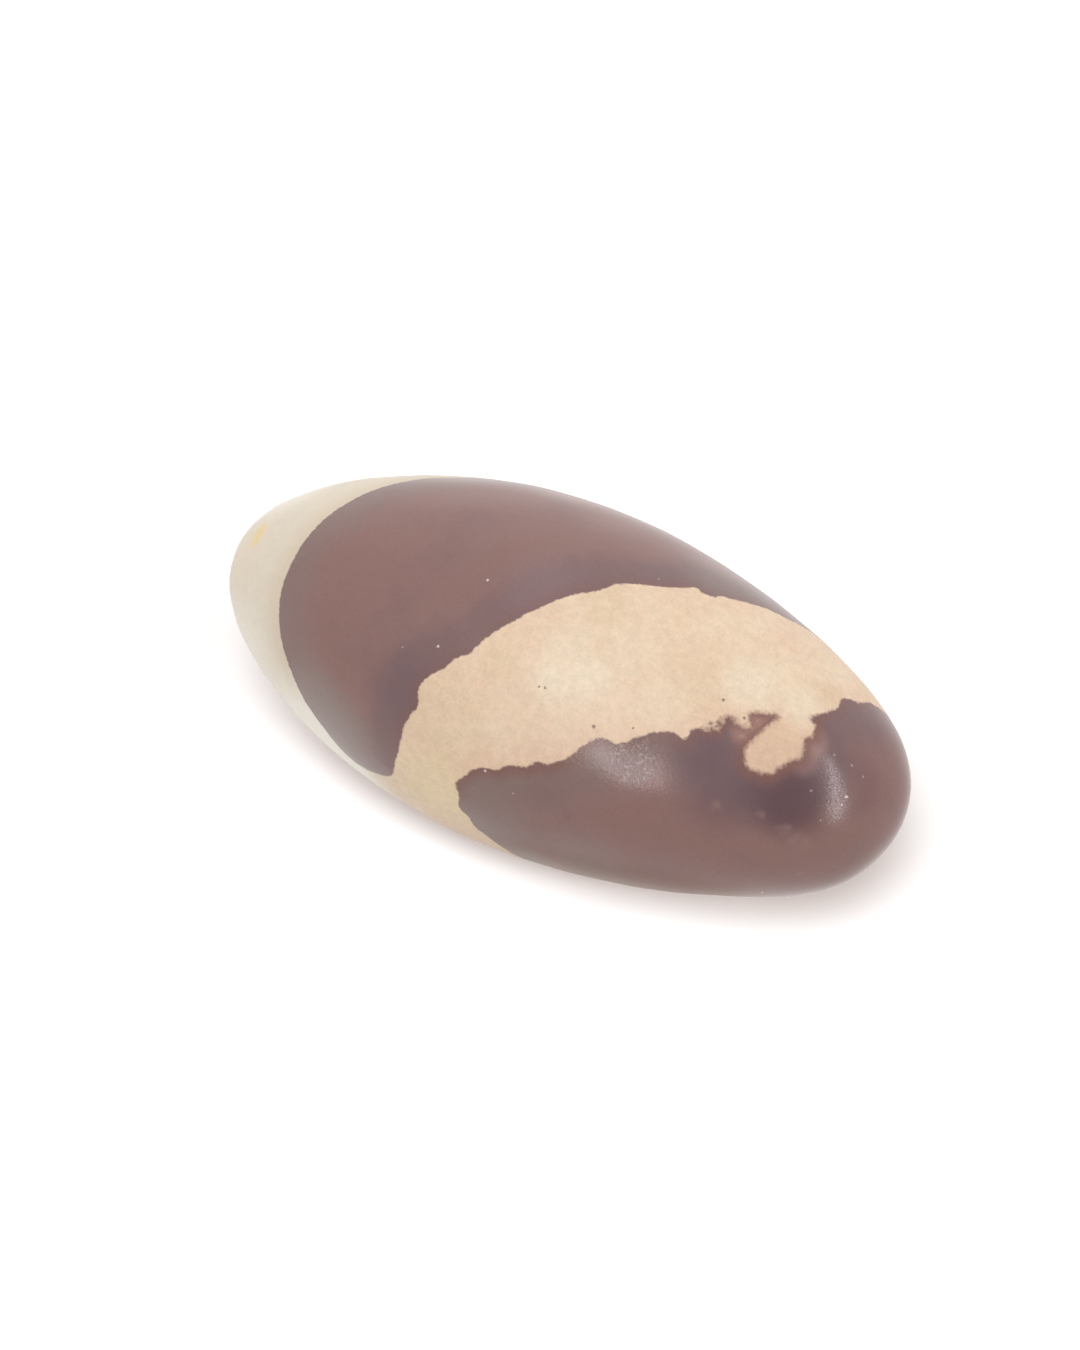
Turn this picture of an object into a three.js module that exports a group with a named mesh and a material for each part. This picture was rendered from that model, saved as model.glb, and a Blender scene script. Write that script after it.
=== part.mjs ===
// A shiva lingam stone: one river pebble, tumbled and hand polished to a long egg, lying on its side.
// Millimetres, +Z up. X runs along the stone towards its blunt end, and the origin is under its middle.

import * as THREE from "three";
import { mergeVertices } from "three/addons/utils/BufferGeometryUtils.js";

// Driving dimensions
const LENGTH = 76;
const WIDTH = 37.4;
const HEIGHT_TO_WIDTH = 0.95;
const SEAT_DEPTH = 0.6; // height of belly that is worn away where the stone lies
const SEAT_EASE = 0.15; // the worn flat rounds into the belly over twice this height
const FACET_SPLITS = 17; // cuts across each edge of the icosahedron that the pebble is shaped from

// How the girth departs from a plain ellipsoid, as shares of it per first, second and third power
// of the place along the stone, which is -1 at the tapered end and 1 at the blunt end
const GIRTH = { lean: -0.033, taper: -0.065, bluntness: 0.07 };
const BOW = -0.3; // sideways bow of both ends

// Broad swells, and worn places where the rise is negative. Degrees along the stone are 0 at the
// waist and 90 at the blunt end. Degrees around it are 0 at the back, 90 on top and -90 below.
const SWELLS = [
  { along: 64, around: -129, rise: 0.7 }, // under the blunt end
  { along: 38, around: -138, rise: -0.45 }, // low on the front
  { along: 70, around: 21, rise: 1.0 }, // behind the blunt end
  { along: -66, around: -171, rise: 0.5 }, // front of the tapered end
  { along: -36, around: 48, rise: -0.4 }, // high on the back
];
const SWELL_REACH = 0.1; // 1 less the cosine at which a swell has faded to about a third

const STONE_FINISH = { color: 0x8c6c68, roughness: 0.42, metalness: 0 };

const half = new THREE.Vector3(LENGTH, WIDTH, WIDTH * HEIGHT_TO_WIDTH).multiplyScalar(0.5);

// Direction from the stone's middle, from degrees along and around it
function heading(along, around) {
  const lift = THREE.MathUtils.degToRad(along);
  const turn = THREE.MathUtils.degToRad(around);
  return new THREE.Vector3(
    Math.sin(lift),
    Math.cos(lift) * Math.cos(turn),
    Math.cos(lift) * Math.sin(turn),
  );
}

// Point of the long egg that a direction on the unit ball goes to
function eggPoint(ball) {
  const { lean, taper, bluntness } = GIRTH;
  const girth = 1 + lean * ball.x + taper * ball.x ** 2 + bluntness * ball.x ** 3;
  return new THREE.Vector3(
    half.x * ball.x,
    half.y * ball.y * girth + BOW * ball.x ** 2,
    half.z * ball.z * girth,
  );
}

// Moves a point of the egg out or in by the swells near it
function addSwells(point, ball) {
  for (const { along, around, rise } of SWELLS) {
    const middle = heading(along, around);
    const fade = Math.exp((ball.dot(middle) - 1) / SWELL_REACH);
    const outward = middle.divide(half).normalize();
    point.addScaledVector(outward, rise * fade);
  }
}

// Height of a point once the belly is worn flat at the seat, with an eased edge
function seatedHeight(z, seat) {
  const above = z - seat;
  if (above <= -SEAT_EASE) return seat;
  if (above >= SEAT_EASE) return z;
  return seat + (above + SEAT_EASE) ** 2 / (4 * SEAT_EASE);
}

// Closed solid of the stone, resting on z = 0 with its box centred on the Z axis
function stoneGeometry() {
  const ballShape = new THREE.IcosahedronGeometry(1, FACET_SPLITS);
  ballShape.deleteAttribute("normal");
  ballShape.deleteAttribute("uv");
  const geometry = mergeVertices(ballShape);
  const places = geometry.getAttribute("position");
  const seat = SEAT_DEPTH - half.z;
  const ball = new THREE.Vector3();
  for (let i = 0; i < places.count; i++) {
    ball.fromBufferAttribute(places, i).normalize();
    const point = eggPoint(ball);
    addSwells(point, ball);
    places.setXYZ(i, point.x, point.y, seatedHeight(point.z, seat));
  }
  geometry.computeBoundingBox();
  const middle = geometry.boundingBox.getCenter(new THREE.Vector3());
  geometry.translate(-middle.x, -middle.y, -seat);
  geometry.computeVertexNormals();
  return geometry;
}

const stone = new THREE.Mesh(stoneGeometry(), new THREE.MeshStandardMaterial(STONE_FINISH));
stone.name = "stone";

const shivaLingam = new THREE.Group();
shivaLingam.add(stone);

export default shivaLingam;
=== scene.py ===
import math

import bpy
import numpy as np
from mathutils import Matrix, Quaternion, Vector
from mathutils.kdtree import KDTree


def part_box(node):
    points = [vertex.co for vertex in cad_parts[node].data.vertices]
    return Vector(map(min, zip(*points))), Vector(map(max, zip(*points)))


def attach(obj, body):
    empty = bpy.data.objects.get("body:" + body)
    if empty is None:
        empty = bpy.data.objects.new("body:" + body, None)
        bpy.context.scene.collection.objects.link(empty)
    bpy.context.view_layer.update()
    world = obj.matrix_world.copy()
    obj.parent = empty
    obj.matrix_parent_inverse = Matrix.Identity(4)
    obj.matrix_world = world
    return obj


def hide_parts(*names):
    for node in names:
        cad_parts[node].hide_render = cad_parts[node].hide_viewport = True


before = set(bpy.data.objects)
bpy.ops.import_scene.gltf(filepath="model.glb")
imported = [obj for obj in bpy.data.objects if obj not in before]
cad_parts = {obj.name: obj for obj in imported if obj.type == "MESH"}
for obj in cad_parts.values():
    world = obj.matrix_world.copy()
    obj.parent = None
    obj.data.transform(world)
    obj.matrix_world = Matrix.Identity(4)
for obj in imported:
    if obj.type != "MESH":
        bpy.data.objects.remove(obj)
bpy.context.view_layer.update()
print("frame: nodes", sorted(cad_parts))

millimetre = 0.001


# Form of the stone

# Same egg as the solid, in millimetres and degrees. Along is 0 at the waist and 90 at the blunt end.
# Around is 0 at the back, 90 on top, 180 in front and 270 below.
stoneForm = {
    "length": 76.0,
    "width": 37.4,
    "heightToWidth": 0.95,
    "lean": -0.033,
    "taper": -0.065,
    "bluntness": 0.07,
    "bow": -0.3,
    "swellReach": 0.1,
    "swells": [  # along, around, rise
        (64, 231, 0.7),
        (38, 222, -0.45),
        (70, 21, 1.0),
        (-66, 189, 0.5),
        (-36, 48, -0.4),
    ],
    "seatDepth": 0.6,
    "seatEase": 0.15,
    "cuts": 128,  # quads along each edge of the cube that is blown up into the ball
    "handPolish": 0.03,  # height of the slow unevenness that polishing by hand leaves
    "polishSpans": (5.0, 15.0),
    "polishWaves": 30,
    "polishSeed": 11,
}


def headingOf(along, around):
    lift = np.radians(along)
    turn = np.radians(around)
    return np.stack([np.sin(lift), np.cos(lift) * np.cos(turn), np.cos(lift) * np.sin(turn)], axis=-1)


def ballGrid(cuts):
    # six square faces on an integer lattice, so that shared edges merge exactly
    step = np.arange(cuts + 1)
    first, second = np.meshgrid(step, step, indexing="ij")
    corner = (first[:-1, :-1] * (cuts + 1) + second[:-1, :-1]).ravel()
    ring = np.stack([corner, corner + cuts + 1, corner + cuts + 2, corner + 1], axis=1)
    lattice = []
    quads = []
    for axis in range(3):
        for side in (0, cuts):
            spots = np.zeros((first.size, 3), int)
            spots[:, axis] = side
            spots[:, (axis + 1) % 3] = first.ravel()
            spots[:, (axis + 2) % 3] = second.ravel()
            faceRing = ring if side else ring[:, ::-1]
            quads.append(faceRing + len(lattice) * first.size)
            lattice.append(spots)
    shared, place = np.unique(np.concatenate(lattice), axis=0, return_inverse=True)
    cube = np.tan((shared / cuts - 0.5) * math.pi / 2)  # even steps of angle
    ball = cube / np.linalg.norm(cube, axis=1, keepdims=True)
    return ball, place.reshape(-1)[np.concatenate(quads)]


def handPolished(ball):
    form = stoneForm
    dice = np.random.default_rng(form["polishSeed"])
    egg = ball * np.array([form["length"], form["width"], form["width"]]) / 2
    rise = np.zeros(len(ball))
    for _ in range(form["polishWaves"]):
        way = dice.normal(size=3)
        span = dice.uniform(*form["polishSpans"])
        turn = egg @ (way / np.linalg.norm(way)) * 2 * math.pi / span
        rise += np.sin(turn + dice.uniform(0, 2 * math.pi))
    return form["handPolish"] * rise / math.sqrt(form["polishWaves"] / 2)


def stonePoints(ball):
    form = stoneForm
    half = np.array([form["length"], form["width"], form["width"] * form["heightToWidth"]]) / 2
    x = ball[:, 0]
    girth = 1 + form["lean"] * x + form["taper"] * x**2 + form["bluntness"] * x**3
    points = ball * half
    points[:, 1] = points[:, 1] * girth + form["bow"] * x**2
    points[:, 2] *= girth
    for along, around, rise in form["swells"]:
        middle = headingOf(along, around)
        outward = middle / half
        fade = np.exp((ball @ middle - 1) / form["swellReach"])
        points += np.outer(rise * fade, outward / np.linalg.norm(outward))
    outward = ball / half
    points += outward / np.linalg.norm(outward, axis=1, keepdims=True) * handPolished(ball)[:, None]
    # belly worn flat where the stone lies, with an eased edge
    seat = form["seatDepth"] - half[2]
    ease = form["seatEase"]
    above = points[:, 2] - seat
    eased = seat + np.clip(above + ease, 0, None) ** 2 / (4 * ease)
    points[:, 2] = np.where(above >= ease, points[:, 2], eased)
    return points


ball, quads = ballGrid(stoneForm["cuts"])
rawPoints = stonePoints(ball)
boxLow, boxHigh = (np.array(corner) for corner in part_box("stone"))
rawLow, rawHigh = rawPoints.min(axis=0), rawPoints.max(axis=0)
boxScale = (boxHigh - boxLow) / (rawHigh - rawLow)


def onStone(ballSpots):
    # metres, in the solid's own box
    return boxLow + (stonePoints(np.atleast_2d(ballSpots)) - rawLow) * boxScale


stonePlaces = onStone(ball)
print("stone form:", len(ball), "points,", len(quads), "quads, scale to box", boxScale.round(5))


# Iron bands

# Outlines in degrees along and around, from stretch to stretch. A stretch has its own rag and feather
# in mm, the tint of the stain just inside it, from 0 ashen to 1 plum, and how rusty its very edge is.
upperBand = {
    "centre": (0, 95),
    "stretches": [
        {"rag": 0.05, "feather": 0.12, "plum": 0.0, "rust": 0.0, "points": [
            (-13.3, 184), (-15, 188.3), (-19.6, 193), (-22.8, 193.6), (-25.8, 191.6), (-28.7, 187.2),
            (-32, 181.6), (-37.9, 167.6), (-42.5, 153.6), (-45.4, 136.6), (-45.4, 117), (-42.4, 92),
            (-37.9, 75), (-31.6, 60)]},
        {"rag": 0.2, "feather": 0.15, "plum": 0.4, "rust": 0.2, "points": [
            (-26, 50), (-21, 37), (-15, 20), (-9, 4), (0, -10), (12, -20), (26, -24), (38, -18),
            (45, -4), (46, 12), (42, 28)]},
        {"rag": 0.1, "feather": 0.13, "plum": 0.8, "rust": 0.3, "points": [
            (34.8, 44), (31.9, 51.7), (28.8, 57.5), (26, 63.7), (23, 69), (22.2, 71.9), (20.9, 73),
            (19.5, 72.6), (17.7, 76.4), (13.2, 84), (11.9, 85.5), (9.4, 89.2), (8.8, 91.8), (6.1, 97.2),
            (5.4, 98.2), (1.8, 107), (-1.1, 115.7), (-3.7, 123.7), (-5.4, 130.4), (-6.4, 131.9),
            (-8.6, 138.7), (-9.6, 140.7), (-10.5, 143.9), (-10.7, 147.7), (-10.3, 151.3), (-11.7, 160),
            (-12, 166.7), (-12.5, 174), (-13, 180)]},
    ],
}

endPatch = {
    "centre": (55, 165),
    "stretches": [
        {"rag": 0.1, "feather": 0.14, "plum": 0.2, "rust": 0.8, "points": [
            (-1.2, 178.4), (-1.8, 173.3), (-0.5, 168.8), (0.8, 165), (2.1, 162.9), (3.5, 161.9),
            (4.5, 161.6), (5.6, 159.3), (7.7, 157.2), (8.7, 157), (9.5, 155.7), (10.4, 152.6),
            (11.4, 153.5), (14.3, 149.3), (15.5, 146.3), (16.1, 143.7)]},
        {"rag": 0.1, "feather": 0.16, "plum": 0.4, "rust": 0.5, "points": [
            (17.8, 139.1), (19.5, 137.9), (21.2, 138), (23.7, 133.6), (25.6, 130.2), (28.1, 127.5),
            (29.7, 127.2), (31, 127.9), (31.1, 123.8)]},
        {"rag": 0.22, "feather": 0.5, "plum": 0.9, "rust": 0.8, "points": [
            (32.4, 121.6), (33.5, 120.5), (33.6, 118), (34.7, 119.4), (34.9, 115.2), (37, 112.6),
            (38.1, 113), (39.1, 113.6), (39.6, 112), (39.2, 110)]},
        {"rag": 0.1, "feather": 0.36, "plum": 1.0, "rust": 0.9, "points": [
            (38.8, 108.2), (39.6, 106), (41.3, 103.5), (43, 101.6), (43.8, 102.4), (42.9, 107.2),
            (42.3, 112.4), (41.3, 119), (41, 121.6), (41.6, 124.4), (42.4, 127.6), (43.5, 128.1),
            (45.5, 127.8), (47.4, 126.4), (47.9, 123), (49.2, 118.3), (51.1, 113.5), (50.7, 109.7),
            (50.1, 106.5), (49.7, 104.1), (50.9, 100.7), (50.4, 96.6), (48.7, 93.4)]},
        {"rag": 0.12, "feather": 0.15, "plum": 0.8, "rust": 0.5, "points": [
            (49.4, 89.6), (50.7, 84), (51.6, 75.9), (50.9, 71.3), (52.1, 65), (53.8, 61.3), (54.5, 52.4),
            (56.5, 40.6), (58, 15), (56, -8), (50, -30), (40, -52)]},
        {"rag": 0.1, "feather": 0.13, "plum": 0.0, "rust": 0.1, "points": [
            (28, -75), (17, -100), (10, -125), (6.8, -145), (5.7, -152.5), (3.3, -162), (0.8, -168.1),
            (0.2, -172.5), (-1.2, -175.1)]},
    ],
}

edgeCurve = {
    "samplesPerSpan": 24,
    "evenOut": 31,  # samples over which the traits pass from one stretch to the next
    "traits": ("rag", "feather", "plum", "rust"),
}


def bandLoop(band):
    # closed smooth curve on the ball through the outline's points
    knots = []
    traits = []
    for stretch in band["stretches"]:
        for along, around in stretch["points"]:
            knots.append(headingOf(along, around))
            traits.append([stretch[name] for name in edgeCurve["traits"]])
    knots = np.array(knots)
    before, after, beyond = (np.roll(knots, shift, axis=0) for shift in (1, -1, -2))
    # tangents go by the square root of the spacing, so that close points make no loops
    here = np.linalg.norm(after - knots, axis=1, keepdims=True) ** 0.5
    last, following = np.roll(here, 1, axis=0), np.roll(here, -1, axis=0)
    slope = (after - knots) / here
    leaving = (knots - before) / last - (after - before) / (last + here) + slope
    arriving = slope - (beyond - knots) / (here + following) + (beyond - after) / following
    leaving, arriving = (leaving * here)[:, None], (arriving * here)[:, None]
    samples = edgeCurve["samplesPerSpan"]
    share = (np.arange(samples) / samples)[None, :, None]
    ease = share**2 * (3 - 2 * share)
    curve = (
        knots[:, None] * (1 - ease)
        + after[:, None] * ease
        + leaving * share * (1 - share) ** 2
        - arriving * share**2 * (1 - share)
    )
    curve = curve.reshape(-1, 3)
    traits = np.repeat(np.array(traits), samples, axis=0)
    reach = edgeCurve["evenOut"] // 2
    shifts = range(-reach, reach + 1)
    traits = sum(np.roll(traits, shift, axis=0) for shift in shifts) / len(shifts)
    return curve / np.linalg.norm(curve, axis=1, keepdims=True), traits


def flatMap(ballSpots, centre):
    # map of the ball that keeps distances from the centre
    middle = headingOf(*centre)
    east = np.cross([0, 0, 1], middle)
    east /= np.linalg.norm(east)
    north = np.cross(middle, east)
    sideways = np.stack([ballSpots @ east, ballSpots @ north], axis=1)
    reach = np.arccos(np.clip(ballSpots @ middle, -1, 1))
    return sideways * (reach / np.maximum(np.linalg.norm(sideways, axis=1), 1e-9))[:, None]


def insideLoop(spots, loop):
    inside = np.zeros(len(spots), bool)
    x, y = spots[:, 0], spots[:, 1]
    for (ax, ay), (bx, by) in zip(loop, np.roll(loop, -1, axis=0)):
        if ay == by:
            continue
        crosses = (ay > y) != (by > y)
        inside ^= crosses & (x < ax + (y - ay) * (bx - ax) / (by - ay))
    return inside


def bandDepth(band):
    # mm in from the nearest edge, negative outside, and that edge's traits
    loop, traits = bandLoop(band)
    edge = onStone(loop)
    tree = KDTree(len(edge))
    for index, spot in enumerate(edge):
        tree.insert(spot, index)
    tree.balance()
    nearest = [tree.find(spot) for spot in stonePlaces]
    index = np.array([found[1] for found in nearest])
    depth = np.array([found[2] for found in nearest]) / millimetre
    inside = insideLoop(flatMap(ball, band["centre"]), flatMap(loop, band["centre"]))
    return np.where(inside, depth, -depth), traits[index]


def stoneMarks():
    upperDepth, upperTraits = bandDepth(upperBand)
    endDepth, endTraits = bandDepth(endPatch)
    traits = np.where((upperDepth > endDepth)[:, None], upperTraits, endTraits)
    marks = {"depth": np.maximum(upperDepth, endDepth)}
    for column, name in enumerate(edgeCurve["traits"]):
        marks[name] = traits[:, column]
    return marks


marks = stoneMarks()
print("iron bands:", round(float((marks["depth"] > 0).mean()), 3), "of the points are stained")


# Node helpers

def addNode(tree, kind, inputs=None, **settings):
    node = tree.nodes.new(kind)
    for name, value in settings.items():
        setattr(node, name, value)
    for key, value in (inputs or {}).items():
        plug(tree, node.inputs[key], value)
    return node


def plug(tree, socket, value):
    if isinstance(value, bpy.types.NodeSocket):
        tree.links.new(value, socket)
    else:
        socket.default_value = value


def sums(tree, operation, *values):
    return addNode(tree, "ShaderNodeMath", dict(enumerate(values)), operation=operation).outputs[0]


def vectors(tree, operation, inputs, output="Vector"):
    return addNode(tree, "ShaderNodeVectorMath", inputs, operation=operation).outputs[output]


def spread(tree, value, low, high, toLow=0.0, toHigh=1.0):
    inputs = {"Value": value, "From Min": low, "From Max": high, "To Min": toLow, "To Max": toHigh}
    return addNode(tree, "ShaderNodeMapRange", inputs, interpolation_type="SMOOTHSTEP").outputs["Result"]


def blend(tree, share, first, second):
    return addNode(tree, "ShaderNodeMix", {0: share, 6: first, 7: second}, data_type="RGBA").outputs[2]


def dim(tree, color, amount):
    return vectors(tree, "SCALE", {0: color, "Scale": amount})


def noise(tree, place, span, detail=2.0, roughness=0.5, output="Fac"):
    # span is the size of a blotch, in the units of place
    inputs = {"Vector": place, "Scale": 1 / span, "Detail": detail, "Roughness": roughness}
    return addNode(tree, "ShaderNodeTexNoise", inputs).outputs[output]


def sway(tree, place, span, detail=2.0):
    # noise that swings about 0
    return sums(tree, "SUBTRACT", noise(tree, place, span, detail), 0.5)


# Finish of the stone

# Places are degrees along and around, and sizes, spans and depths are mm.
# A sway is the span of the noise that bends a border, and how far it pushes.
stoneFinish = {
    # pale rock
    "ivory": "cec2b0",  # tapered end
    "sand": "d6bb9f",
    "pinkSand": "d3b096",
    "paleSand": "dac8ae",
    "honey": "cbae8b",
    "straw": "d9c3a0",
    "chalk": "e8e1d4",
    "blush": "c3a185",
    "warmIvory": "c8b8a2",  # ivory close to the iron
    "pinkIvory": "d6c4b0",
    "ivoryUntil": (-20.0, -4.0),  # mm along, between which ivory passes into sand
    "ivorySway": (12.0, 14.0),
    "ivoryCalm": 0.4,  # share of the sand's paler blotches and speckle that the ivory has
    "wanBlotches": {"span": 6.0, "detail": 3.0, "roughness": 0.55, "low": 0.45, "high": 0.75, "share": 0.6},
    "pinkBlotches": {"span": 3.4, "detail": 3.0, "roughness": 0.6, "low": 0.5, "high": 0.75, "share": 0.5},
    "pinkRim": (-3.0, -0.2, 0.7),  # depths between which it grows beside a rusty edge, and share
    "ivoryRim": (-3.5, -0.2, 0.9),
    "paleSpeckle": {"span": 0.9, "detail": 2.0, "coarse": 0.045, "fine": 0.042},
    "paleClouds": [  # along, around, reach, tint, share
        (-5, 180, 7.0, "straw", 0.8),
        (-6, 152, 7.0, "honey", 0.35),
        # the next three paint pale spots where the high lamp's soft highlight falls on the sand: partly the
        # sand's paler tone, partly painted highlight
        (12, 127, 6.0, "paleSand", 0.4),
        (8.6, 127.5, 2.6, "paleSand", 0.75),
        (13.6, 121, 2.8, "paleSand", 0.75),
        (18.1, 106.5, 4.0, "paleSand", 0.4),
        (25, 119, 4.0, "paleSand", 0.4),
        (10, 97.5, 3.5, "honey", 0.4),
        (-0.2, 128, 3.0, "honey", 0.4),
        (29.5, 109, 4.0, "honey", 0.25),
        (36.5, 96.5, 4.5, "paleSand", 0.9),
        (46, 91, 3.5, "paleSand", 0.8),
        (46.5, 118, 5.0, "blush", 0.5),
        (48.5, 74, 2.5, "honey", 0.4),
        (-31, 197, 9.5, "chalk", 0.9),
        (-26, 205, 9.0, "chalk", 0.9),
        (-52, 198, 10.0, "chalk", 0.6),
        (-66, 128, 5.0, "pinkIvory", 0.5),
        (-50, 20, 9.0, "warmIvory", 0.7),
        (-62, 60, 7.0, "chalk", 0.5),
        (-30, 335, 9.0, "straw", 0.6),
        (-52, 300, 8.0, "pinkIvory", 0.6),
        (8, 250, 8.0, "honey", 0.5),
    ],
    # iron stain
    "redBrown": "7f5b55",
    "ash": "78605a",
    "plum": "684d50",
    "wine": "5d4046",
    "darkPlum": "4c282e",
    "rust": "744a3f",
    "greyAsh": "82706a",
    "lightPlum": "7d6163",
    "thinStain": "94706a",
    "paleStain": "ad8579",
    "edgeLobes": (1.3, 5.0),  # span, and swing in shares of the edge's rag
    "edgeTeeth": (0.4, 1.4),  # span, and swing in shares of its rag and feather together
    "fringe": (2.0, 6.5, 0.75),  # depths between which it fades, and share
    "fringeSway": (4.5, 6.0),
    "stainBlotches": {
        "ash": {"span": 5.5, "detail": 3.0, "roughness": 0.5, "low": 0.5, "high": 0.8, "share": 0.35},
        "plum": {"span": 8.0, "detail": 3.0, "roughness": 0.5, "low": 0.5, "high": 0.8, "share": 0.35},
    },
    "rustRim": (0.2, 1.8, 0.9),
    "stainSpeckle": {"span": 1.2, "detail": 3.0, "coarse": 0.016, "fine": 0.03},
    "stainClouds": [
        (-12.5, 150, 6.0, "plum", 0.7),
        (-25.5, 181, 7.5, "greyAsh", 0.9),
        (-31, 170, 5.0, "greyAsh", 0.5),
        (22, 59, 7.0, "greyAsh", 0.5),
        (0.5, 102, 6.0, "lightPlum", 0.6),
        (40, 142, 6.0, "wine", 0.5),
        (36, 126, 6.0, "plum", 0.6),
        (34, 129, 4.0, "wine", 0.5),
        (3, 182, 9.0, "ash", 0.6),
        (57, 92, 6.0, "plum", 0.25),
        (49.5, 133, 6.0, "wine", 0.9),
        (54.5, 135, 5.5, "darkPlum", 0.6),
        (41.3, 107, 2.4, "thinStain", 0.8),
        (40.9, 110, 2.0, "paleStain", 0.6),
        (40.2, 114, 2.5, "paleStain", 0.8),
        (51.3, 103.5, 2.4, "paleStain", 0.5),
        (52.1, 113.6, 2.2, "thinStain", 0.5),
        (66, 110, 4.5, "wine", 0.35),
        (20, 191, 6.5, "greyAsh", 0.4),
    ],
    "cloudCore": 0.25,  # share of a cloud's reach within which it is at its strongest
    "speckleRoughness": 0.6,
    "speckleRange": (0.3, 0.7),
    # small marks, with spots of along, around, size
    "ochre": "dabd78",
    "scuff": "8d6a63",
    "pit": "5d4a42",
    "quartz": "dccfc8",
    "ochreStains": {"tint": "ochre", "share": 0.8, "soft": 1.0, "spots": [
        (-62.8, 117.5, 1.2), (-63.2, 112, 1.6), (-63.8, 106.5, 1.2)]},
    "scuffs": {"tint": "scuff", "share": 0.45, "soft": 1.0, "spots": [
        (56.5, 156.3, 1.3), (59.1, 158, 1.1), (53.8, 151, 1.0), (48.4, 147.2, 0.8), (40, 148, 0.8),
        (59.2, 184.8, 0.6)]},
    "pits": {"tint": "pit", "share": 0.75, "soft": 0.7, "spots": [
        (17, 135.8, 0.24), (22.7, 131.3, 0.17), (33.7, 108.4, 0.22), (38.3, 110.5, 0.22),
        (7, 130.6, 0.13), (7.9, 130.4, 0.13), (-34, 18, 0.2), (-28, 300, 0.22), (-58, 335, 0.16),
        (4, 262, 0.18), (-47, 252, 0.15)]},
    "quartzGrains": {"tint": "quartz", "share": 0.8, "soft": 0.7, "spots": [
        (-10.2, 131.6, 0.21), (-7.9, 106.3, 0.19), (2.8, 163.5, 0.19), (64.8, 120.7, 0.22),
        (8, 22, 0.2), (24, -8, 0.18), (-12, 40, 0.17), (50, 205, 0.19), (70, 290, 0.2)]},
    "dullGrains": {"tint": "quartz", "share": 0.28, "soft": 0.7, "spots": [
        (64.7, 127.2, 0.2), (14, 78.3, 0.17), (-15.9, 136.5, 0.14), (7.7, 167.8, 0.16),
        (61, 141.6, 0.16), (57.1, 102.1, 0.16), (61.9, 100.2, 0.16), (66.1, 100.9, 0.16),
        (56.4, 126.3, 0.2)]},
    "spotSway": (0.5, 0.15),
    "scuffSway": (0.9, 0.7),
    "frostAndGlints": {  # fine pale grains on the front, partly worn rock and partly painted glints where the front highlight falls
        "place": (24.4, 141.5),
        "reach": 3.8,
        "core": 0.3,
        "share": 0.2,
        "span": 0.33,
        "range": (0.5, 0.72),
    },
    # polish
    "grain": {"span": 0.27, "detail": 2.0, "roughness": 0.6},
    "grainHeight": 0.012,
    "pitDepth": 0.07,
    "paleRoughness": 0.5,
    "ironRoughness": 0.25,
    "ironTooth": (0.4, 0.012),  # span and height of the unevenness that breaks up highlights on the iron
    "smoothEnd": {  # polished best
        "place": (62, 124),
        "reach": 9.0,
        "core": 0.4,
        "roughness": 0.22,
        "tooth": 0.15,  # share of the iron's
    },
    "ior": 1.5,
    "haze": 0.1,
    "hazeRoughness": 0.4,
}


def tint(name):
    # screen colour of the finish, as the linear value that a socket takes
    hexCode = stoneFinish[name]
    levels = [int(hexCode[i:i + 2], 16) / 255 for i in (0, 2, 4)]
    return tuple(((level + 0.055) / 1.055) ** 2.4 for level in levels) + (1.0,)


def gapTo(tree, place, along, around):
    centre = onStone(headingOf(along, around))[0] / millimetre
    return vectors(tree, "DISTANCE", {0: place, 1: centre}, "Value")


def cloudsOver(tree, place, color, clouds):
    core = stoneFinish["cloudCore"]
    for along, around, reach, name, share in clouds:
        cover = spread(tree, gapTo(tree, place, along, around), reach * core, reach, share, 0.0)
        color = blend(tree, cover, color, tint(name))
    return color


def spotMask(tree, place, kind):
    # 1 in the spots, 0 outside, over a rim of soft times their size
    nearest = None
    for along, around, size in kind["spots"]:
        share = sums(tree, "DIVIDE", gapTo(tree, place, along, around), size)
        nearest = share if nearest is None else sums(tree, "MINIMUM", nearest, share)
    return spread(tree, nearest, 1 - kind["soft"], 1.0, 1.0, 0.0)


def spotsOver(tree, mask, color, kind):
    return blend(tree, sums(tree, "MULTIPLY", mask, kind["share"]), color, tint(kind["tint"]))


def crooked(tree, place, span, shift):
    # place pushed about by up to shift, so that spots lose their roundness
    push = vectors(tree, "SUBTRACT", {0: noise(tree, place, span, output="Color"), 1: (0.5,) * 3})
    return vectors(tree, "MULTIPLY_ADD", {0: push, 1: (2 * shift,) * 3, 2: place})


def blotches(tree, place, span, detail, roughness, low, high, share):
    return spread(tree, noise(tree, place, span, detail, roughness), low, high, 0.0, share)


def speckle(tree, place, grain, span, detail, coarse, fine):
    # brightness that swings about 0
    dots = noise(tree, place, span, detail, stoneFinish["speckleRoughness"])
    low, high = stoneFinish["speckleRange"]
    coarseDots = spread(tree, dots, low, high, -coarse, coarse)
    return sums(tree, "ADD", coarseDots, spread(tree, grain, low, high, -fine, fine))


def ragged(tree, place, values):
    # depth in from the edge, once lobes and teeth are in that edge
    lobeSpan, lobeSwing = stoneFinish["edgeLobes"]
    toothSpan, toothSwing = stoneFinish["edgeTeeth"]
    lobes = sums(tree, "MULTIPLY", sway(tree, place, lobeSpan), lobeSwing)
    wavy = sums(tree, "MULTIPLY_ADD", lobes, values["rag"], values["depth"])
    bite = sums(tree, "MULTIPLY", sums(tree, "ADD", values["rag"], values["feather"]), toothSwing)
    return sums(tree, "MULTIPLY_ADD", sway(tree, place, toothSpan, 1.0), bite, wavy)


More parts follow.
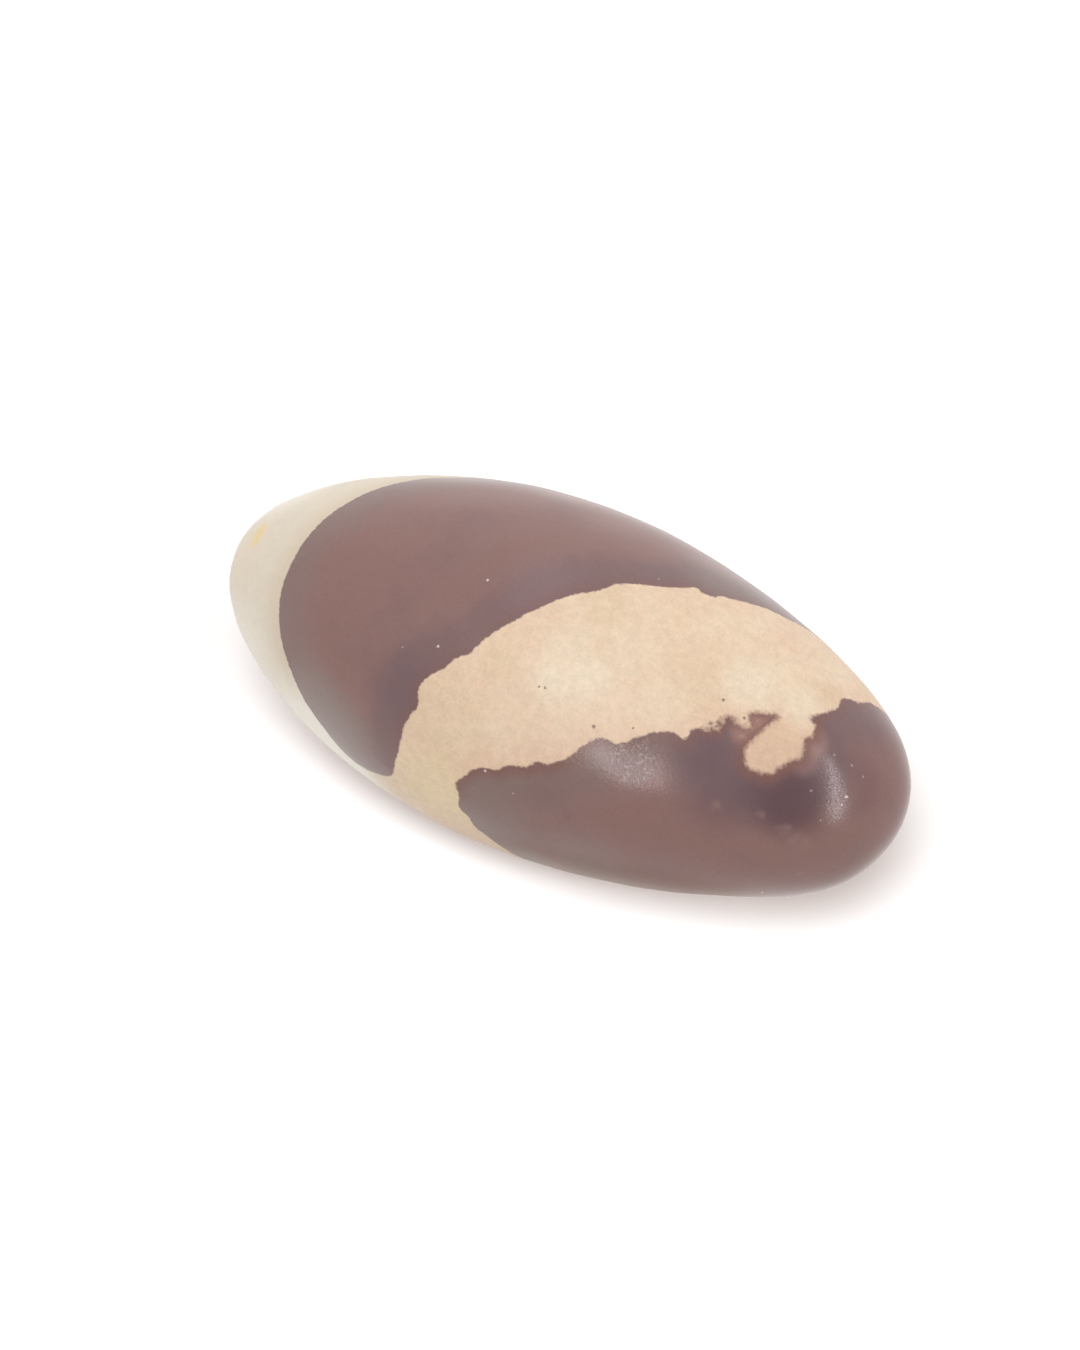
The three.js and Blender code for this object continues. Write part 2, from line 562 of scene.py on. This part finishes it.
def paleColor(tree, place, values, grain):
    finish = stoneFinish
    lengthwise = addNode(tree, "ShaderNodeSeparateXYZ", {0: place}).outputs["X"]
    span, push = finish["ivorySway"]
    along = sums(tree, "MULTIPLY_ADD", sway(tree, place, span), push, lengthwise)
    warm = spread(tree, along, *finish["ivoryUntil"])
    lively = spread(tree, warm, 0.0, 1.0, finish["ivoryCalm"], 1.0)
    color = blend(tree, warm, tint("ivory"), tint("sand"))
    wan = blotches(tree, place, **finish["wanBlotches"])
    color = blend(tree, sums(tree, "MULTIPLY", wan, lively), color, tint("paleSand"))
    flush = blotches(tree, place, **finish["pinkBlotches"])
    low, high, share = finish["pinkRim"]
    beside = sums(tree, "MULTIPLY", spread(tree, values["depth"], low, high, 0.0, share), values["rust"])
    flush = sums(tree, "MAXIMUM", flush, beside)
    color = blend(tree, sums(tree, "MULTIPLY", flush, warm), color, tint("pinkSand"))
    low, high, share = finish["ivoryRim"]
    close = spread(tree, values["depth"], low, high, 0.0, share)
    close = sums(tree, "MULTIPLY", close, spread(tree, warm, 0.0, 1.0, 1.0, 0.0))
    color = blend(tree, close, color, tint("warmIvory"))
    color = cloudsOver(tree, place, color, finish["paleClouds"])
    speckled = speckle(tree, place, grain, **finish["paleSpeckle"])
    return dim(tree, color, sums(tree, "MULTIPLY_ADD", speckled, lively, 1.0))


def stainColor(tree, place, values, edge, grain):
    finish = stoneFinish
    span, push = finish["fringeSway"]
    inward = sums(tree, "MULTIPLY_ADD", sway(tree, place, span), push, values["depth"])
    low, high, share = finish["fringe"]
    fringe = spread(tree, inward, low, high, share, 0.0)
    fringeTint = blend(tree, values["plum"], tint("ash"), tint("plum"))
    color = blend(tree, fringe, tint("redBrown"), fringeTint)
    for name, shape in finish["stainBlotches"].items():
        color = blend(tree, blotches(tree, place, **shape), color, tint(name))
    color = cloudsOver(tree, place, color, finish["stainClouds"])
    low, high, share = finish["rustRim"]
    rust = sums(tree, "MULTIPLY", spread(tree, edge, low, high, share, 0.0), values["rust"])
    color = blend(tree, rust, color, tint("rust"))
    speckled = speckle(tree, place, grain, **finish["stainSpeckle"])
    return dim(tree, color, sums(tree, "ADD", speckled, 1.0))


def marksOver(tree, place, bent, color, pitted):
    # ochre stain, scuffs, dark pits, pale grains, and a frosted patch whose pale specks are partly painted
    # glints of the front highlight
    finish = stoneFinish
    color = spotsOver(tree, spotMask(tree, bent, finish["ochreStains"]), color, finish["ochreStains"])
    rubbed = spotMask(tree, crooked(tree, place, *finish["scuffSway"]), finish["scuffs"])
    color = spotsOver(tree, rubbed, color, finish["scuffs"])
    color = spotsOver(tree, pitted, color, finish["pits"])
    for name in ("quartzGrains", "dullGrains"):
        color = spotsOver(tree, spotMask(tree, bent, finish[name]), color, finish[name])
    # pale specks centred where the front highlight falls: partly real worn grain, partly painted glints
    frostAndGlints = finish["frostAndGlints"]
    reach = frostAndGlints["reach"]
    gap = gapTo(tree, place, *frostAndGlints["place"])
    glintCover = spread(tree, gap, reach * frostAndGlints["core"], reach, frostAndGlints["share"], 0.0)
    specks = spread(tree, noise(tree, place, frostAndGlints["span"], 1.0), *frostAndGlints["range"])
    return blend(tree, sums(tree, "MULTIPLY", specks, glintCover), color, tint("quartz"))


def polishOf(tree, place, iron, grain, pitted):
    # roughness, and height of the fine relief in mm
    finish = stoneFinish
    smooth = finish["smoothEnd"]
    gap = gapTo(tree, place, *smooth["place"])
    core, reach = smooth["reach"] * smooth["core"], smooth["reach"]
    polish = spread(tree, gap, core, reach, smooth["roughness"], finish["ironRoughness"])
    roughness = spread(tree, iron, 0.0, 1.0, finish["paleRoughness"], polish)
    toothSpan, toothHeight = finish["ironTooth"]
    rise = spread(tree, gap, core, reach, toothHeight * smooth["tooth"], toothHeight)
    tooth = sums(tree, "MULTIPLY", noise(tree, place, toothSpan, 1.0), rise)
    height = sums(tree, "MULTIPLY_ADD", tooth, iron, sums(tree, "MULTIPLY", grain, finish["grainHeight"]))
    return roughness, sums(tree, "MULTIPLY_ADD", pitted, -finish["pitDepth"], height)


def stoneMaterial():
    finish = stoneFinish
    material = bpy.data.materials.new("polishedStone")
    material.use_nodes = True
    tree = material.node_tree
    tree.nodes.clear()
    place = dim(tree, addNode(tree, "ShaderNodeTexCoord").outputs["Object"], 1 / millimetre)
    values = {}
    for name in marks:
        values[name] = addNode(tree, "ShaderNodeAttribute", attribute_name=name).outputs["Fac"]
    grain = noise(tree, place, **finish["grain"])
    edge = ragged(tree, place, values)
    outside = sums(tree, "MULTIPLY", values["feather"], -1.0)
    iron = spread(tree, edge, outside, values["feather"])
    pale = paleColor(tree, place, values, grain)
    color = blend(tree, iron, pale, stainColor(tree, place, values, edge, grain))
    bent = crooked(tree, place, *finish["spotSway"])
    pitted = spotMask(tree, bent, finish["pits"])
    color = marksOver(tree, place, bent, color, pitted)
    roughness, height = polishOf(tree, place, iron, grain, pitted)
    bump = addNode(tree, "ShaderNodeBump", {"Strength": 1.0, "Distance": millimetre, "Height": height})
    shader = addNode(tree, "ShaderNodeBsdfPrincipled", {
        "Base Color": color,
        "Roughness": roughness,
        "Normal": bump.outputs[0],
        "IOR": finish["ior"],
        "Sheen Weight": finish["haze"],
        "Sheen Roughness": finish["hazeRoughness"],
    })
    addNode(tree, "ShaderNodeOutputMaterial", {"Surface": shader.outputs[0]})
    return material


def makeStone():
    mesh = bpy.data.meshes.new("polishedStone")
    mesh.from_pydata(stonePlaces.tolist(), [], quads.tolist())
    for name, values in marks.items():
        mesh.attributes.new(name, "FLOAT", "POINT").data.foreach_set("value", values.astype(np.float32))
    mesh.shade_smooth()
    mesh.materials.append(stoneMaterial())
    stone = bpy.data.objects.new("polishedStone", mesh)
    bpy.context.scene.collection.objects.link(stone)
    return stone


stone = makeStone()
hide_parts("stone")
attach(stone, "root")
print("stone: mesh and finish made")


# Floor, light and camera

def wayTo(azimuth, elevation):
    turn, lift = math.radians(azimuth), math.radians(elevation)
    return Vector((math.sin(turn) * math.cos(lift), -math.cos(turn) * math.cos(lift), math.sin(lift)))


def aim(holder, target, azimuth, elevation, distance, roll=0.0):
    way = wayTo(azimuth, elevation)
    holder.location = Vector(target) + way * distance
    holder.rotation_mode = "QUATERNION"
    turned = Quaternion((0, 0, 1), math.radians(roll))
    holder.rotation_quaternion = (-way).to_track_quat("-Z", "Y") @ turned
    bpy.context.scene.collection.objects.link(holder)


# Metres and linear colours
floorPaper = {
    "reach": 3.0,  # each way
    "drop": 0.00002,
    "paper": (0.0226, 0.0244, 0.0254, 1.0),
    "shade": (0.32, 0.22, 0.175, 1.0),  # light of its own, which keeps the darkest shadow warm
    "mirrored": (1.14, 1.11, 1.09, 1.0),  # light in the stone's reflections
    "mirroredContactShadow": (0.62, 0.55, 0.5, 1.0),  # the same under the belly, darker: a painted contact shadow that only the stone's reflections see
    "underCentre": (0.0095, -0.0105, 0.0),
    "underReach": (0.0205, 0.0145, 1.0),
    "underFade": (0.6, 1.2),  # shares of that reach
}


def makeFloor():
    reach, height = floorPaper["reach"], -floorPaper["drop"]
    mesh = bpy.data.meshes.new("studioFloor")
    corners = [(x * reach, y * reach, height) for x, y in ((-1, -1), (1, -1), (1, 1), (-1, 1))]
    mesh.from_pydata(corners, [], [(0, 1, 2, 3)])
    material = bpy.data.materials.new("floorPaper")
    material.use_nodes = True
    tree = material.node_tree
    tree.nodes.clear()
    paper = addNode(tree, "ShaderNodeBsdfDiffuse", {"Color": floorPaper["paper"]})
    shade = addNode(tree, "ShaderNodeEmission", {"Color": floorPaper["shade"], "Strength": 1.0})
    direct = addNode(tree, "ShaderNodeAddShader", {0: paper.outputs[0], 1: shade.outputs[0]})
    place = addNode(tree, "ShaderNodeTexCoord").outputs["Object"]
    for operation, name in (("SUBTRACT", "underCentre"), ("DIVIDE", "underReach")):
        place = vectors(tree, operation, {0: place, 1: floorPaper[name]})
    # darker towards the belly: painted contact shadow, seen only in the stone's reflections
    away = spread(tree, vectors(tree, "LENGTH", {0: place}, "Value"), *floorPaper["underFade"])
    glow = blend(tree, away, floorPaper["mirroredContactShadow"], floorPaper["mirrored"])
    mirrored = addNode(tree, "ShaderNodeEmission", {"Color": glow, "Strength": 1.0})
    ray = addNode(tree, "ShaderNodeLightPath").outputs["Is Glossy Ray"]
    shader = addNode(tree, "ShaderNodeMixShader", {0: ray, 1: direct.outputs[0], 2: mirrored.outputs[0]})
    addNode(tree, "ShaderNodeOutputMaterial", {"Surface": shader.outputs[0]})
    mesh.materials.append(material)
    floor = bpy.data.objects.new("studioFloor", mesh)
    bpy.context.scene.collection.objects.link(floor)
    # the sky below lights the belly instead, so that the white floor doesn't wash it out
    floor.visible_diffuse = False
    floor.visible_shadow = False
    return floor


studioLight = {
    "zenith": 1.25,
    "horizon": 1.0,
    "below": 0.55,
    "belowBright": 0.85,
    "belowAt": -0.3,
    "brightSide": {"azimuth": -60, "range": (-0.2, 0.9)},  # range of the cosine to that side
    "backGlow": {"azimuth": 195, "elevation": 10, "range": (0.3, 0.95), "extra": 0.22},
    "target": (0.0, 0.0, 0.0175),
    "distance": 0.36,
    "lamps": [  # name, azimuth, elevation, roll, width and height in m, watts
        ("frontLamp", 4.8, 23.8, 20, 0.095, 0.15, 0.205),
        ("sideStrip", 83, 24.3, -36, 0.014, 0.36, 0.28),
        ("highLamp", -8, 59, 0, 0.09, 0.09, 0.35),
    ],
    "floorSuns": [  # name, azimuth, elevation, angle, strength
        ("paperSun", 11.7, 61.4, 33, 112),
        ("paperSideSun", 71.3, 30, 21, 61),
    ],
}


def makeSky():
    light = studioLight
    world = bpy.data.worlds.new("studioSky")
    world.use_nodes = True
    tree = world.node_tree
    tree.nodes.clear()
    way = addNode(tree, "ShaderNodeTexCoord").outputs["Generated"]
    height = addNode(tree, "ShaderNodeSeparateXYZ", {0: way}).outputs["Z"]
    upper = spread(tree, height, 0.0, 1.0, light["horizon"], light["zenith"])
    side = light["brightSide"]
    sideward = vectors(tree, "DOT_PRODUCT", {0: way, 1: wayTo(side["azimuth"], 0)}, "Value")
    dull, bright = (light[name] - light["horizon"] for name in ("below", "belowBright"))
    below = spread(tree, sideward, *side["range"], dull, bright)
    lower = sums(tree, "MULTIPLY", spread(tree, height, light["belowAt"], 0.0, 1.0, 0.0), below)
    back = light["backGlow"]
    backWay = wayTo(back["azimuth"], back["elevation"])
    backward = vectors(tree, "DOT_PRODUCT", {0: way, 1: backWay}, "Value")
    glow = spread(tree, backward, *back["range"], 0.0, back["extra"])
    strength = sums(tree, "ADD", sums(tree, "ADD", upper, lower), glow)
    sky = addNode(tree, "ShaderNodeBackground", {"Color": (1.0, 1.0, 1.0, 1.0), "Strength": strength})
    addNode(tree, "ShaderNodeOutputWorld", {"Surface": sky.outputs[0]})
    bpy.context.scene.world = world


def makeLamps(floor):
    light = studioLight
    for name, azimuth, elevation, roll, width, height, watts in light["lamps"]:
        lamp = bpy.data.lights.new(name, "AREA")
        lamp.shape = "ELLIPSE"
        lamp.size, lamp.size_y = width, height
        lamp.energy = watts
        holder = bpy.data.objects.new(name, lamp)
        aim(holder, light["target"], azimuth, elevation, light["distance"], roll)
        holder.visible_diffuse = False  # highlights only
    # the suns light the paper alone and let the stone's soft shadow fall on it
    paperOnly = bpy.data.collections.new("paperOnly")
    paperOnly.objects.link(floor)
    for name, azimuth, elevation, angle, strength in light["floorSuns"]:
        sun = bpy.data.lights.new(name, "SUN")
        sun.energy = strength
        sun.angle = math.radians(angle)
        holder = bpy.data.objects.new(name, sun)
        aim(holder, light["target"], azimuth, elevation, light["distance"])
        holder.light_linking.receiver_collection = paperOnly


photoView = {
    "azimuth": 30.07,
    "elevation": 48.0,
    "distance": 0.4,
    "target": (0.0, 0.0, 0.0175),
    "targetPixel": (562.1, 679.4),
    "imageSize": (1080, 1350),
    "focalPixels": 3922.9,
    "sensor": 36.0,
}


def makeCamera():
    view = photoView
    width, height = view["imageSize"]
    longSide = max(width, height)
    camera = bpy.data.cameras.new("photoCamera")
    camera.sensor_width = view["sensor"]
    camera.lens = view["focalPixels"] / longSide * view["sensor"]
    camera.shift_x = (width / 2 - view["targetPixel"][0]) / longSide
    camera.shift_y = (view["targetPixel"][1] - height / 2) / longSide
    holder = bpy.data.objects.new("photoCamera", camera)
    aim(holder, view["target"], view["azimuth"], view["elevation"], view["distance"])
    bpy.context.scene.camera = holder


makeSky()
makeLamps(makeFloor())
makeCamera()
bpy.context.scene.view_settings.view_transform = "Standard"
print("studio: floor, lights and camera placed")
